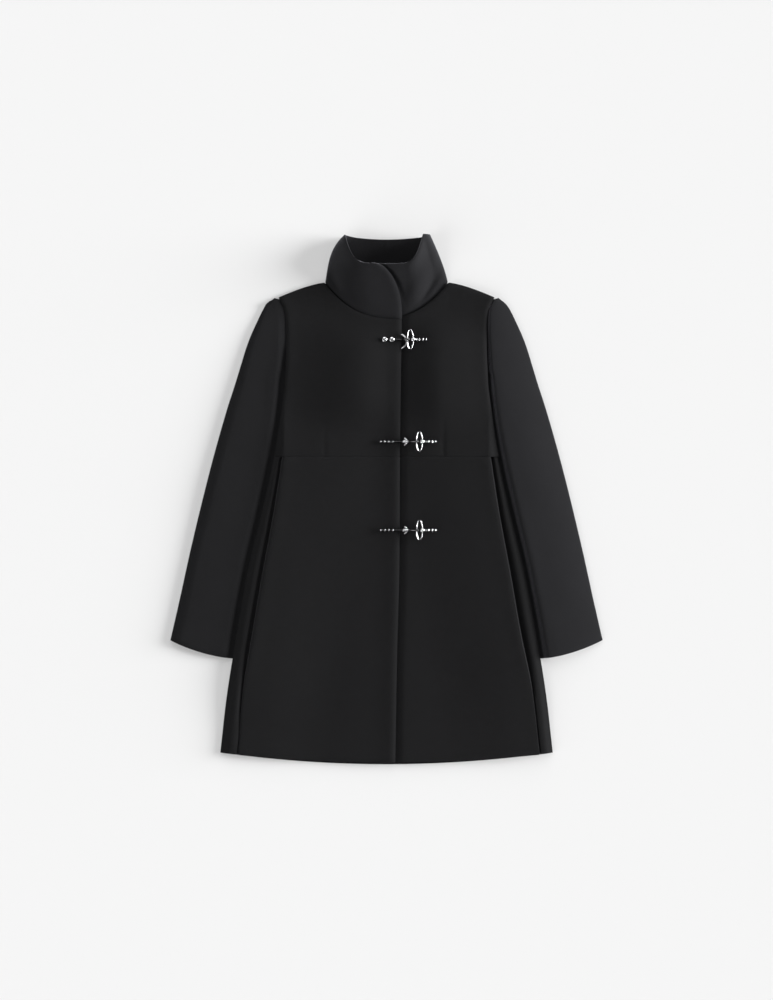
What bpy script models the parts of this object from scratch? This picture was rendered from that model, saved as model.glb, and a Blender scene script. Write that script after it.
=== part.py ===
"""A wool coat laid flat, front up, with its sleeves tucked a little way under the body.

Sizes are in millimetres and become metres when a mesh is made. X runs across the coat, Y from hem to
collar and Z up from the surface it lies on. The origin is on that surface, under the middle of the coat.
The wearer's right front (at -X) laps over the left one, and three metal hook clasps hold them.
"""

import math
from collections import namedtuple

import bmesh
import bpy
from mathutils import Vector

MM = 0.001

# Cloth and the way its layers lie
CLOTH = 2.2                 # wall of the coating
AIR = 0.8                   # between layers that lie on each other
LAYER = CLOTH + AIR
SEAM = 0.3                  # between pieces sewn edge to edge
NECK_GAP = 0.8              # below the collar, whose lower edge tilts
FLOOR_LAYER = CLOTH / 2     # height of the middle of a layer that lies on the surface

# Heights up the coat, from its middle
COLLAR_TOP = 448.5
NECK_POINT = 369.0          # where shoulder and collar meet
SHOULDER_TIP = 344.0
NECK_FRONT = 308.0          # collar seam at the front edges
NECK_BACK = 352.0
UNDERARM = 212.0
WAIST = 73.0                # high waist seam
HEM_BACK = -449.0
HEM_FRONT = -445.0          # a little shorter than the back
HEM_CORNER = -429.0

# Half widths
NECK_HALF = 104.0
SHOULDER_HALF = 183.0
HEM_HALF = 282.0
COLLAR_TOP_HALF = 74.0

# Closing of the fronts
LAP = 28.0                  # each front passes the centre by this at the neck
LAP_RAMP = (-75.0, -35.0)   # the over front climbs onto the under front between these
NECK_CURVE = 2.8            # how late the front neck seam turns up to the neck point
SHOULDER_CURVE = 1.4
NECK_SHARE = 0.6            # share of a panel's columns that end at the neck, not the shoulder
TOP_FINENESS = 1.5          # rows of the panels crowd towards the shoulder by this power

# Fullness of each front over the chest: where it starts, crests and ends across the coat, the heights up the
# coat between which it comes and goes, and how far it stands up
Fullness = namedtuple("Fullness", "start crest end low full_low full_high high rise")
OVER_FULLNESS = Fullness(-125, -52, 27, 105, 180, 250, 322, 9.0)
UNDER_FULLNESS = Fullness(30, 102, 166, 90, 170, 250, 322, 9.0)

# Side pleat of each skirt front
PLEAT_DEPTH = 25.0
PLEAT_RAMP = 60.0           # width over which the front climbs onto its pleat
PLEAT_FADE = 80.0           # height over which the bodice settles above it
PLEAT_EASE = 8.0            # the front is at its full height this far in from the pleat's inner fold
SIDE_STEP = (4.0, 1.0)      # above the waist it steps down between these, inside the pleat and inside the side

# Rise of the body's sides over the tucked sleeves
TUCK_LIFT = 2 * CLOTH + 2 * AIR
TUCK_FLAT = 48.0            # the lift is full this far in from the side edge
TUCK_RAMP = 80.0
LIFT_TOP = (196.0, 300.0)   # it fades out up the armhole between these heights
LIFT_FOOT = (-284.0, -410.0)   # and below the cuff between these

# Collar
COLLAR_LIFT = 40.0          # how far the front of the neck opening stands off the back
COLLAR_FOLD = 22.0          # width of the rounded side at the top
COLLAR_DROP = 50.0          # front of the top edge below its corners
COLLAR_DIP = 6.0            # back of the top edge below its corners
COLLAR_TAPER = 1.3          # powers that shape its sides, the rise of its front and the scoop of its front edge
COLLAR_RISE = 1.5
COLLAR_SCOOP = 4
FLAP_CENTRE = Vector((-22.0, 316.0))   # the over end of the collar is a quarter of this ellipse
FLAP_RADII = Vector((50.0, 84.0))
UNDER_END = -18.0           # the under end stops here, below the over end

# Outlines: a row is a height and the half width, or distance past the centre, at that height
Edge = namedtuple("Edge", "height across")
BODY_SIDE = (
    Edge(212, 171), Edge(187, 172.6), Edge(85, 188), Edge(-17, 210), Edge(-119, 234.6),
    Edge(-221, 253), Edge(-333, 271), Edge(-429, 282),
)
ARMHOLE = (Edge(344, 183), Edge(330, 175.5), Edge(315, 171.5), Edge(260, 169.5), Edge(212, 171))
FRONT_EDGE = (Edge(308, 28), Edge(73, 25), Edge(-120, 24), Edge(-250, 20.5), Edge(-449, 17))
PLEAT_EDGE = (
    Edge(73, 176), Edge(-17, 190), Edge(-119, 209), Edge(-221, 227), Edge(-323, 248), Edge(-449, 263),
)

# Sections of a sleeve from shoulder to cuff: where it meets the body in plan, its outer edge, the width tucked
# under the body, how far out of the body's edge it stays flat, the height of its outer edge and of its crest,
# and the bow of its end
Section = namedtuple("Section", "inner_x inner_y outer_x outer_y tuck flat edge crest bow")
SLEEVE = (
    Section(182.6, 340.5, 190.5, 343.0, 0, 0, 3.6, 5.5, 0),
    Section(174.2, 322.0, 205.0, 330.0, 0, 0, 5.0, 9.0, 0),
    Section(170.8, 290.0, 220.0, 302.0, 0, 0, 6.0, 13.0, 0),
    Section(170.4, 250.0, 235.5, 266.0, 0, 4, 7.0, 16.5, 0),
    Section(173.0, 199.0, 250.5, 218.0, 0, 12, 7.5, 19.5, 0),
    Section(175.2, 172.0, 258.5, 192.0, 14, 12, 8.0, 20.5, 0),
    Section(179.6, 132.0, 270.5, 155.0, 36, 12, 8.0, 21.0, 0),
    Section(193.0, 60.0, 293.0, 76.0, 40, 10, 8.0, 21.5, 0),
    Section(213.0, -28.0, 314.0, -6.0, 38, 10, 8.0, 21.5, 0),
    Section(232.0, -108.0, 333.0, -86.0, 34, 10, 8.0, 21.0, 0),
    Section(249.0, -195.0, 351.0, -168.0, 30, 10, 8.0, 20.0, 0),
    Section(262.0, -269.0, 367.0, -238.0, 26, 10, 7.5, 19.0, 5),
)
SLEEVE_CREST = 0.42         # share of the visible width at which the crest runs
SLEEVE_FOLD = 9.0           # the outer edge turns under within this width
SLEEVE_FOLD_SHARE = 0.35    # and at most within this share of a narrow section

# Clasps
WIRE = 1.5                  # radius of the hook
RING_WIRE = 1.3
EYE_WIRE = 1.2
EYE_TURN = 3.0              # radius of the eye's turn round the ring
HOOK_TURN = 3.1
RING_HALF = 17.0            # half length of the ring
RING_LEFT, RING_RIGHT = 24.5, 37.0   # its two long sides, past the front edge
RING_TILT = 5.0             # the hooked side stands this much higher
HOOK_BEND = (115, -110)     # angles of the hook's turn over the ring, and of the eye's
EYE_BEND = (10, 245)
HOOK_CLIMB = ((16.5, 0.35), (19.2, 0.75))   # past the front edge, and share of the climb to the ring
HOOK_TIP = 0.7              # of its radius
# Turned profiles: distance past the front edge and radius there
Turn = namedtuple("Turn", "along radius")
BARREL = (
    Turn(-2.0, WIRE), Turn(3.0, 1.7), Turn(4.2, 2.9), Turn(8.5, 3.3), Turn(12.8, 2.9), Turn(14.0, 1.7),
)
SMALL_BEADS = (
    Turn(-36.0, 0.6), Turn(-35.0, 1.2), Turn(-33.5, 1.6), Turn(-32.0, 1.2), Turn(-30.2, 1.0),
    Turn(-28.6, 1.5), Turn(-26.7, 2.0), Turn(-24.8, 1.5), Turn(-23.4, 1.1), Turn(-21.8, 1.8),
    Turn(-20.0, 2.3), Turn(-18.2, 1.8), Turn(-16.6, 1.3), Turn(-15.0, 2.0), Turn(-13.0, 2.4),
    Turn(-11.0, 2.0), Turn(-9.0, WIRE),
)
LARGE_BEADS = (
    Turn(-25.9, 0.8), Turn(-25.2, 2.2), Turn(-23.8, 3.5), Turn(-21.4, 4.2), Turn(-19.0, 3.5), Turn(-17.4, 2.0),
    Turn(-15.0, WIRE), Turn(-12.6, 2.0), Turn(-11.1, 3.5), Turn(-8.7, 4.2), Turn(-6.3, 3.5), Turn(-4.6, 2.0),
)
EYE_TAIL = (
    Turn(64.5, 0.6), Turn(63.6, 1.2), Turn(62.3, 1.5), Turn(61.0, 1.2), Turn(59.8, 1.1), Turn(58.6, 1.6),
    Turn(57.2, 1.9), Turn(55.8, 1.6), Turn(54.6, 1.3), Turn(53.4, 1.9), Turn(52.0, 2.3), Turn(50.6, 1.9),
    Turn(49.6, 1.7), Turn(48.8, 2.6), Turn(46.0, 3.0), Turn(43.2, 2.6), Turn(42.2, 1.5),
)
# The height of each clasp up the coat, how far it is moved along its own line, and its tail
Clasp = namedtuple("Clasp", "name height shift beads")
CLASPS = (
    Clasp("clasp_top", 272, -9, LARGE_BEADS), Clasp("clasp_waist", 99, 0, SMALL_BEADS),
    Clasp("clasp_skirt", -51, 1, SMALL_BEADS),
)

# Finishes
Finish = namedtuple("Finish", "colour roughness metallic")
WOOL = Finish((0.016, 0.016, 0.018, 1.0), 0.95, 0.0)
BLACK_NICKEL = Finish((0.045, 0.045, 0.05, 1.0), 0.22, 1.0)


def ease(share):
    """0 to 1 with no slope at either end."""
    share = min(1.0, max(0.0, share))
    return share * share * (3 - 2 * share)


def ramp(value, start, end):
    return ease((value - start) / (end - start))


def curve_through(rows):
    """A smooth function of height through a table of edges."""
    rows = sorted(rows)

    def slope(i):
        low, high = rows[max(i - 1, 0)], rows[min(i + 1, len(rows) - 1)]
        return (high.across - low.across) / (high.height - low.height)

    def across(height):
        i = next((n for n in range(len(rows) - 2) if height < rows[n + 1].height), len(rows) - 2)
        low, high = rows[i], rows[i + 1]
        step = high.height - low.height
        t = (height - low.height) / step
        return (
            low.across * (1 + 2 * t) * (1 - t) ** 2 + high.across * t * t * (3 - 2 * t)
            + step * t * (1 - t) * (slope(i) * (1 - t) - slope(i + 1) * t)
        )

    return across


body_side = curve_through(BODY_SIDE)
armhole = curve_through(ARMHOLE)
front_edge = curve_through(FRONT_EDGE)
pleat_edge = curve_through(PLEAT_EDGE)


def neck_seam(past_centre):
    """Height of a front's collar seam, at this distance from the centre towards its own side."""
    share = max(0.0, (past_centre + LAP) / (NECK_HALF + LAP))
    return NECK_FRONT + (NECK_POINT - NECK_FRONT) * share ** NECK_CURVE


def back_neck(across):
    return NECK_BACK + (NECK_POINT - NECK_BACK) * abs(across / NECK_HALF) ** 2


def shoulder(across):
    share = (across - NECK_HALF) / (SHOULDER_HALF - NECK_HALF)
    return NECK_POINT - (NECK_POINT - SHOULDER_TIP) * max(0.0, share) ** SHOULDER_CURVE


def hem(across, lowest):
    return lowest + (HEM_CORNER - lowest) * (across / HEM_HALF) ** 2


def lift(x, y):
    """How far the body stands off the surface because a sleeve is tucked under its side."""
    side = body_side(min(y, UNDERARM))
    across = ramp(abs(x), side - TUCK_FLAT - TUCK_RAMP, side - TUCK_FLAT)
    return TUCK_LIFT * across * (1 - ramp(y, *LIFT_TOP)) * (1 - ramp(-y, -LIFT_FOOT[0], -LIFT_FOOT[1]))


def layer_height(x, y, layer):
    """Height of the middle of a body layer: 0 is the back, 1 lies on it, and so on."""
    return lift(x, y) + FLOOR_LAYER + layer * LAYER


def lap_layer(side, x):
    """Extra layer of the over front (side -1), which climbs onto the under front near the centre."""
    return ramp(x, *LAP_RAMP) if side < 0 else 0.0


def front_layer(side, x, y):
    """Layer number of a front where it shows, for the bodice and the skirt alike."""
    pleat = pleat_edge(min(y, WAIST))
    full = pleat - PLEAT_DEPTH - PLEAT_EASE
    climb = ramp(abs(x), full - PLEAT_RAMP, full)
    if y > WAIST:
        climb *= 1 - ramp(abs(x), pleat - SIDE_STEP[0], body_side(y) - SIDE_STEP[1])
        climb *= 1 - ramp(y, WAIST, WAIST + PLEAT_FADE)
    return 1 + lap_layer(side, x) + 2 * climb


def fullness(side, x, y):
    form = OVER_FULLNESS if side < 0 else UNDER_FULLNESS
    across = ramp(x, form.start, form.crest) * (1 - ramp(x, form.crest, form.end))
    return form.rise * across * ramp(y, form.low, form.full_low) * (1 - ramp(y, form.full_high, form.high))


def front_height(side, x, y):
    """Height of the middle of a front where it shows."""
    return layer_height(x, y, front_layer(side, x, y)) + fullness(side, x, y)


def resting_line(side, y, start, turns):
    """Axis of a turned bar that lies along a front: its height as a function of the distance along."""
    tops = [front_height(side, start + turn.along, y) + CLOTH / 2 + SEAM for turn in turns]
    slope = (tops[-1] - tops[0]) / (turns[-1].along - turns[0].along)
    base = max(top + turn.radius - slope * turn.along for top, turn in zip(tops, turns))
    return lambda along: base + slope * along


def blend_edges(bottom, top, inner, outer):
    """A patch between four edges, each a function of a share from 0 to 1 giving a point in plan."""
    def point(u, v):
        low = bottom(0) * (1 - u) + bottom(1) * u
        high = top(0) * (1 - u) + top(1) * u
        return (bottom(u) - low) * (1 - v) + (top(u) - high) * v + inner(v) * (1 - u) + outer(v) * u

    return point


def material(name, finish):
    made = bpy.data.materials.new(name)
    made.use_nodes = True
    shader = made.node_tree.nodes["Principled BSDF"]
    shader.inputs["Base Color"].default_value = finish.colour
    shader.inputs["Roughness"].default_value = finish.roughness
    shader.inputs["Metallic"].default_value = finish.metallic
    return made


def add_object(name, data, finish):
    data.materials.append(material(name, finish))
    made = bpy.data.objects.new(name, data)
    bpy.data.collections["wool_coat"].objects.link(made)
    return made


def cloth(name, columns, rows, place):
    """A wall of cloth whose middle runs through place(u, v), with u and v from 0 to 1."""
    grid = bmesh.new()
    bmesh.ops.create_grid(grid, x_segments=columns, y_segments=rows, size=1.0)
    for vert in grid.verts:
        vert.co = Vector(place((vert.co.x + 1) / 2, (vert.co.y + 1) / 2)) * MM
    mesh = bpy.data.meshes.new(name)
    grid.to_mesh(mesh)
    grid.free()
    mesh.shade_smooth()
    made = add_object(name, mesh, WOOL)
    wall = made.modifiers.new("wall", "SOLIDIFY")
    wall.thickness = CLOTH * MM
    wall.offset = 0.0
    wall.use_even_offset = True
    return made


def outer_edge(v, low):
    """Side of the bodice or back in plan, up the side and the armhole to the shoulder, finer near its top."""
    height = low + (SHOULDER_TIP - SEAM - low) * (1 - (1 - v) ** TOP_FINENESS)
    return Vector((body_side(height) if height < UNDERARM else armhole(height), height))


def make_bodice(side, name):
    """A front from the waist seam to the collar and shoulder; side -1 is the over front."""
    low = WAIST + SEAM

    def bottom(u):
        reach = front_edge(low)
        return Vector((-reach + (reach + body_side(low)) * u, low))

    def top(u):
        if u < NECK_SHARE:
            across = -LAP + (NECK_HALF + LAP) * u / NECK_SHARE
            return Vector((across, neck_seam(across) - NECK_GAP))
        across = NECK_HALF + (SHOULDER_HALF - NECK_HALF) * (u - NECK_SHARE) / (1 - NECK_SHARE)
        return Vector((across, shoulder(across) - SEAM))

    def inner(v):
        height = low + (NECK_FRONT - NECK_GAP - low) * v
        return Vector((-front_edge(height), height))

    patch = blend_edges(bottom, top, inner, lambda v: outer_edge(v, low))

    def place(u, v):
        plan = patch(u, v)
        x = side * plan.x
        return x, plan.y, front_height(side, x, plan.y)

    cloth(name, 15, 11, place)


def half_turn(steps, centre_x, centre_layer, radius, outward):
    """Points round a fold between two layers, from the lower to the upper; outward is +1 or -1."""
    points = []
    for n in range(1, steps):
        angle = math.pi * n / steps - math.pi / 2
        points.append((centre_x + outward * radius * math.cos(angle), centre_layer + math.sin(angle) / 2))
    return points


def skirt_row(side, y):
    """Across a skirt front at one height, from its side to its front edge: distance out and layer number."""
    fold = LAYER / 2
    side_columns, turn_steps, main_columns = 4, 4, 13
    pleat, edge = pleat_edge(y), body_side(y)
    under, reach = pleat - PLEAT_DEPTH, -front_edge(y)
    row = [(edge + (under + fold - edge) * n / side_columns, 1.0) for n in range(side_columns + 1)]
    row += half_turn(turn_steps, under + fold, 1.5, fold, -1)
    row += [(under + fold, 2.0), (pleat - PLEAT_DEPTH / 2, 2.0), (pleat - fold, 2.0)]
    row += half_turn(turn_steps, pleat - fold, 2.5, fold, 1)
    for n in range(main_columns + 1):
        across = pleat - fold + (reach - pleat + fold) * n / main_columns
        row.append((across, front_layer(side, side * across, y)))
    return row


def make_skirt(side, name):
    """A skirt front with its side pleat; side -1 is the over front."""
    rows, top = 13, WAIST - SEAM
    table = [skirt_row(side, WAIST + (HEM_CORNER - WAIST) * n / rows) for n in range(rows + 1)]
    columns = len(table[0]) - 1

    def place(u, v):
        across, layer = table[round(v * rows)][round(u * columns)]
        x = side * across
        y = top + (hem(across, HEM_FRONT) - top) * v
        return x, y, layer_height(x, y, layer)

    cloth(name, columns, rows, place)


def make_back():
    """The whole back, from hem to neck, lying on the surface and over the tucked sleeves."""
    rows, skirt_rows = 22, 13
    waist_share = skirt_rows / rows

    def bottom(u):
        across = HEM_HALF * (2 * u - 1)
        return Vector((across, hem(across, HEM_BACK)))

    def top(u):
        out = abs(2 * u - 1)
        hand = 1 if u > 0.5 else -1
        if out < NECK_SHARE:
            across = NECK_HALF * out / NECK_SHARE
            return Vector((hand * across, back_neck(across) - NECK_GAP))
        across = NECK_HALF + (SHOULDER_HALF - NECK_HALF) * (out - NECK_SHARE) / (1 - NECK_SHARE)
        return Vector((hand * across, shoulder(across) - SEAM))

    def side(v):
        if v > waist_share:
            return outer_edge((v - waist_share) / (1 - waist_share), WAIST)
        height = HEM_CORNER + (WAIST - HEM_CORNER) * v / waist_share
        return Vector((body_side(height), height))

    def mirrored_side(v):
        return Vector((-side(v).x, side(v).y))

    patch = blend_edges(bottom, top, mirrored_side, side)

    def place(u, v):
        plan = patch(u, v)
        return plan.x, plan.y, layer_height(plan.x, plan.y, 0)

    cloth("back", 20, rows, place)


def sleeve_row(section):
    """Distance out and height across a sleeve section, from its seam over the crest, round the edge and back."""
    span = math.hypot(section.outer_x - section.inner_x, section.outer_y - section.inner_y)
    fold_wide = min(SLEEVE_FOLD, SLEEVE_FOLD_SHARE * span)
    outer = span - CLOTH / 2
    crest_out, low = SLEEVE_CREST * span, FLOOR_LAYER
    start = SEAM - section.tuck
    inner_columns, crest_steps, fold_steps, lower_columns = 8, 7, 4, 5
    row = []
    for n in range(inner_columns):
        out = start + (crest_out - start) * n / inner_columns
        row.append((out, low + LAYER + (section.crest - low - LAYER) * ramp(out, section.flat, crest_out)))
    for n in range(crest_steps):
        angle = math.pi / 2 * n / crest_steps
        out = crest_out + (outer - crest_out) * math.sin(angle)
        row.append((out, section.edge + (section.crest - section.edge) * math.cos(angle)))
    for n in range(fold_steps + 1):
        angle = math.pi / 2 * n / fold_steps
        height = section.edge - (section.edge - low) * math.sin(angle)
        row.append((outer - fold_wide * (1 - math.cos(angle)), height))
    for n in range(1, lower_columns + 1):
        row.append((outer - fold_wide + (start - outer + fold_wide) * n / lower_columns, low))
    return row


def make_sleeve(side, name):
    """A one-piece sleeve folded at its outer edge, its two long edges lying on each other at the seam."""
    table = [sleeve_row(section) for section in SLEEVE]
    columns, rows = len(table[0]) - 1, len(SLEEVE) - 1

    def place(u, v):
        section = SLEEVE[round(v * rows)]
        out, height = table[round(v * rows)][round(u * columns)]
        start = Vector((section.inner_x, section.inner_y))
        along = Vector((section.outer_x, section.outer_y)) - start
        share = min(1.0, max(0.0, out / along.length))
        plan = start + along.normalized() * out
        return side * plan.x, plan.y - section.bow * 4 * share * (1 - share), height

    cloth(name, columns, rows, place)


def collar_half(v):
    """Half width of the collar at a share of its height."""
    return NECK_HALF - CLOTH / 2 - (NECK_HALF - COLLAR_TOP_HALF) * v ** COLLAR_TAPER


def collar_front_height(v):
    """Height of the front of the collar over the surface, before the over end climbs onto the under end."""
    return FLOOR_LAYER + LAYER + COLLAR_LIFT * v ** COLLAR_RISE


def collar_plan(x, v, front, side):
    """Distance up the coat of a collar point; side says which front's seam it hangs from."""
    share = max(-1.0, min(1.0, x / collar_half(v)))
    if not front:
        low = back_neck(share * NECK_HALF)
        return low + (COLLAR_TOP - COLLAR_DIP * (1 - share * share) - low) * v
    low = neck_seam(side * share * NECK_HALF)
    return low + (COLLAR_TOP - COLLAR_DROP * (1 - share ** COLLAR_SCOOP) - low) * v


def over_end(v):
    """Where the over end of the collar stops at a share of its height: a quarter ellipse in plan."""
    y = NECK_FRONT + (FLAP_CENTRE.y + FLAP_RADII.y - NECK_FRONT) * v
    rise = max(0.0, (y - FLAP_CENTRE.y) / FLAP_RADII.y)
    return FLAP_CENTRE.x + FLAP_RADII.x * math.sqrt(max(0.0, 1 - rise * rise))


def collar_row(v):
    """Round the collar at one height, from its over end by the back to its under end."""
    half = collar_half(v)
    low, high = FLOOR_LAYER, collar_front_height(v)
    fold_wide = LAYER / 2 + (COLLAR_FOLD - LAYER / 2) * v
    flat = half - fold_wide
    front_columns, fold_steps, back_columns = 9, 8, 10
    row = []
    start = over_end(v)
    for n in range(front_columns):
        x = start + (-flat - start) * n / front_columns
        row.append((x, collar_plan(x, v, True, -1), high + LAYER * lap_layer(-1, x)))
    for hand in (-1, 1):
        turn = []
        for n in range(fold_steps + 1):
            angle = math.pi / 2 - math.pi * n / fold_steps
            x = hand * (flat + fold_wide * math.cos(angle))
            height = (low + high) / 2 + (high - low) / 2 * math.sin(angle)
            turn.append((x, collar_plan(x, v, angle > 0, hand), height))
        row += turn if hand < 0 else turn[::-1]
        if hand < 0:
            for n in range(1, back_columns):
                x = -flat + 2 * flat * n / back_columns
                row.append((x, collar_plan(x, v, False, hand), low))
    for n in range(1, front_columns + 1):
        x = flat + (UNDER_END - flat) * n / front_columns
        row.append((x, collar_plan(x, v, True, 1), high))
    return row


def make_collar():
    """A stand collar in one band, its over end rounded, lying on its back with the front raised."""
    rows = 7
    table = [collar_row(n / rows) for n in range(rows + 1)]
    columns = len(table[0]) - 1
    cloth("collar", columns, rows, lambda u, v: table[round(v * rows)][round(u * columns)])


def wire(name, points, radii, closed=False):
    """A round bar of changing radius along a line of points."""
    curve = bpy.data.curves.new(name, "CURVE")
    curve.dimensions = "3D"
    curve.bevel_depth = MM
    curve.bevel_resolution = 2
    curve.use_fill_caps = not closed
    spline = curve.splines.new("POLY")
    spline.points.add(len(points) - 1)
    spline.use_cyclic_u = closed
    for spot, point, radius in zip(spline.points, points, radii):
        spot.co = (*(Vector(point) * MM), 1.0)
        spot.radius = radius
    return add_object(name, curve, BLACK_NICKEL)


def arc(centre_x, centre_z, radius, start, end):
    """Points in the XZ plane round an arc, angles in degrees from +X towards +Z."""
    steps = 10
    angles = [math.radians(start + (end - start) * n / steps) for n in range(steps + 1)]
    return [(centre_x + radius * math.cos(a), centre_z + radius * math.sin(a)) for a in angles]


def make_clasp(clasp):
    """A hook on the over front, caught in an oval ring that an eye holds on the under front."""
    y, edge = clasp.height, front_edge(clasp.height) + clasp.shift
    eye_axis = resting_line(1, y, edge, EYE_TAIL)
    eye_height = eye_axis(RING_RIGHT) + EYE_WIRE
    hook_height = eye_height + RING_TILT

    tail = clasp.beads + BARREL
    hook_axis = resting_line(-1, y, edge, [turn for turn in tail if clasp.shift + turn.along < WIRE])
    line = [(turn.along, hook_axis(turn.along)) for turn in tail]
    radii = [turn.radius for turn in tail]
    low, top = line[-1][1], hook_height + HOOK_TURN
    line += [(along, low + share * (top - low)) for along, share in HOOK_CLIMB]
    line += arc(RING_LEFT, hook_height, HOOK_TURN, *HOOK_BEND)
    radii += [WIRE] * (len(line) - len(radii) - 1) + [WIRE * HOOK_TIP]
    wire(clasp.name + "_hook", [(edge + x, y, z) for x, z in line], radii)

    ring, ring_steps = [], 28
    middle = Vector(((RING_LEFT + RING_RIGHT) / 2, (hook_height + eye_height) / 2))
    half = Vector((RING_LEFT, hook_height)) - middle
    for n in range(ring_steps):
        angle = 2 * math.pi * n / ring_steps
        across = middle + half * math.cos(angle)
        ring.append((edge + across.x, y + RING_HALF * math.sin(angle), across.y))
    wire(clasp.name + "_ring", ring, [RING_WIRE] * ring_steps, closed=True)

    line = [(turn.along, eye_axis(turn.along)) for turn in EYE_TAIL]
    line += arc(RING_RIGHT, eye_height, EYE_TURN, *EYE_BEND)
    radii = [turn.radius for turn in EYE_TAIL]
    radii += [EYE_WIRE] * (len(line) - len(radii))
    wire(clasp.name + "_eye", [(edge + x, y, z) for x, z in line], radii)


def main():
    for old in list(bpy.data.objects):
        bpy.data.objects.remove(old)
    coat = bpy.data.collections.new("wool_coat")
    bpy.context.scene.collection.children.link(coat)
    make_back()
    make_bodice(-1, "bodice_over")
    make_bodice(1, "bodice_under")
    make_skirt(-1, "skirt_over")
    make_skirt(1, "skirt_under")
    make_sleeve(-1, "sleeve_right")
    make_sleeve(1, "sleeve_left")
    make_collar()
    for clasp in CLASPS:
        make_clasp(clasp)


main()
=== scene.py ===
import math

import bmesh
import bpy
from mathutils import Matrix, Vector, noise


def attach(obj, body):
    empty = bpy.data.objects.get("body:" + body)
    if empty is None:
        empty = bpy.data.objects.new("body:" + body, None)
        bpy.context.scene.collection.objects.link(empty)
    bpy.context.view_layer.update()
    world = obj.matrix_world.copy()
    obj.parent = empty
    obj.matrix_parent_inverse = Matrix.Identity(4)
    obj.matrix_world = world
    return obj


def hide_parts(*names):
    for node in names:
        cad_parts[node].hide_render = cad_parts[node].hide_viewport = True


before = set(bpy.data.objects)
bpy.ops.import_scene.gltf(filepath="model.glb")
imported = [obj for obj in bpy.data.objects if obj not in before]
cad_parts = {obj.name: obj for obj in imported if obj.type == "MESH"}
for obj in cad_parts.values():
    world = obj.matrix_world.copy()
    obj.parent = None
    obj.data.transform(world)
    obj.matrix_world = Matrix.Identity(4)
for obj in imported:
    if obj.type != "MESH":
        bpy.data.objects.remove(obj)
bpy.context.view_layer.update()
scene = bpy.context.scene
scene.view_settings.view_transform = "Standard"
print("frame loaded:", len(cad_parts), "nodes")

mm = 0.001

# the coat's cut in mm: x across it, y from hem to collar, z up from the surface it lies on
cut = {
    "cloth": 2.2,            # wall of the coating
    "edgeRound": 0.85,
    "edgeSteps": 3,
    "edgeAngle": 55.0,       # sharper corners than this are rounded
    "layer": 3.0,            # from one layer to the next
    "floorLayer": 1.1,       # middle of the layer that lies on the surface
    "seam": 0.3,
    "neckGap": 0.8,
    "neckPoint": 369.0,
    "shoulderTip": 344.0,
    "neckFront": 308.0,
    "neckBack": 352.0,
    "underarm": 212.0,
    "waist": 73.0,
    "hemBack": -449.0,
    "hemFront": -445.0,
    "hemCorner": -429.0,
    "neckHalf": 104.0,
    "shoulderHalf": 183.0,
    "hemHalf": 282.0,
    "lap": 28.0,             # the neck seam starts this far past the centre
    "lapRamp": (-150.0, -32.0),
    "neckCurve": 2.8,
    "shoulderCurve": 1.4,
    "pleatDepth": 25.0,
    "pleatRamp": 130.0,
    "pleatFade": 80.0,
    "pleatEase": 8.0,
    "pleatLean": {-1: (10.0, 180.0, 460.0), 1: (1.0, 180.0, 460.0)},   # amount, heights below the middle
    "sideStep": (4.0, 1.0),
    "tuckLift": 6.0,         # rise of the body over the tucked sleeves
    "tuckFlat": 48.0,
    "tuckRamp": 150.0,
    "liftTop": (196.0, 300.0),
    "liftFoot": (-284.0, -410.0),
    "middleRise": (4.5, 40.0, 225.0, 300.0),   # of the fronts: rise, half width, heights where it goes
    "middleFoot": 0.6,       # share of that rise which goes towards the hem
    # chest fullness: start, crest and end across, heights where it comes and goes, rise
    "fullness": {-1: (-172, -40, 45, 105, 180, 250, 322, 12.0), 1: (27, 95, 215, 90, 170, 250, 322, 12.5)},
    # outlines: height, distance from the centre
    "bodySide": ((212, 171), (187, 172.6), (85, 188), (-17, 210), (-119, 234.6), (-221, 253), (-333, 271),
                 (-429, 282)),
    "armhole": ((344, 183), (330, 175.5), (315, 171.5), (260, 169.5), (212, 171)),
    "frontEdge": ((308, 25.2), (73, 22.2), (-120, 21), (-250, 17.5), (-449, 14)),
    "pleatEdge": ((73, 176), (-17, 190), (-119, 209), (-221, 227), (-323, 248), (-449, 263)),
}


def ease(share):
    share = min(1.0, max(0.0, share))
    return share * share * (3 - 2 * share)


def ramp(value, start, end):
    return ease((value - start) / (end - start))


def rib(value, form):   # a soft ridge that comes, stays and goes
    rise, start, full, fade, end = form
    return rise * ramp(value, start, full) * (1 - ramp(value, fade, end))


def crowd(share, amount=0.6):   # the same share, with more rows near both ends
    return share - amount * math.sin(2 * math.pi * share) / (2 * math.pi)


def bell(distance, wide):
    return math.exp(-0.5 * (distance / wide) ** 2)


def runOf(points):   # distance along a line of points, from its start
    run = [0.0]
    for one, two in zip(points, points[1:]):
        run.append(run[-1] + math.dist(one, two))
    return run


def curveThrough(rows):   # a smooth function of height through a table
    rows = sorted(rows)

    def slope(i):
        low, high = rows[max(i - 1, 0)], rows[min(i + 1, len(rows) - 1)]
        return (high[1] - low[1]) / (high[0] - low[0])

    def across(height):
        i = next((n for n in range(len(rows) - 2) if height < rows[n + 1][0]), len(rows) - 2)
        low, high = rows[i], rows[i + 1]
        step = high[0] - low[0]
        t = (height - low[0]) / step
        return (
            low[1] * (1 + 2 * t) * (1 - t) ** 2 + high[1] * t * t * (3 - 2 * t)
            + step * t * (1 - t) * (slope(i) * (1 - t) - slope(i + 1) * t)
        )

    return across


bodySide = curveThrough(cut["bodySide"])
armhole = curveThrough(cut["armhole"])
frontEdge = curveThrough(cut["frontEdge"])
pleatTable = curveThrough(cut["pleatEdge"])


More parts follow.
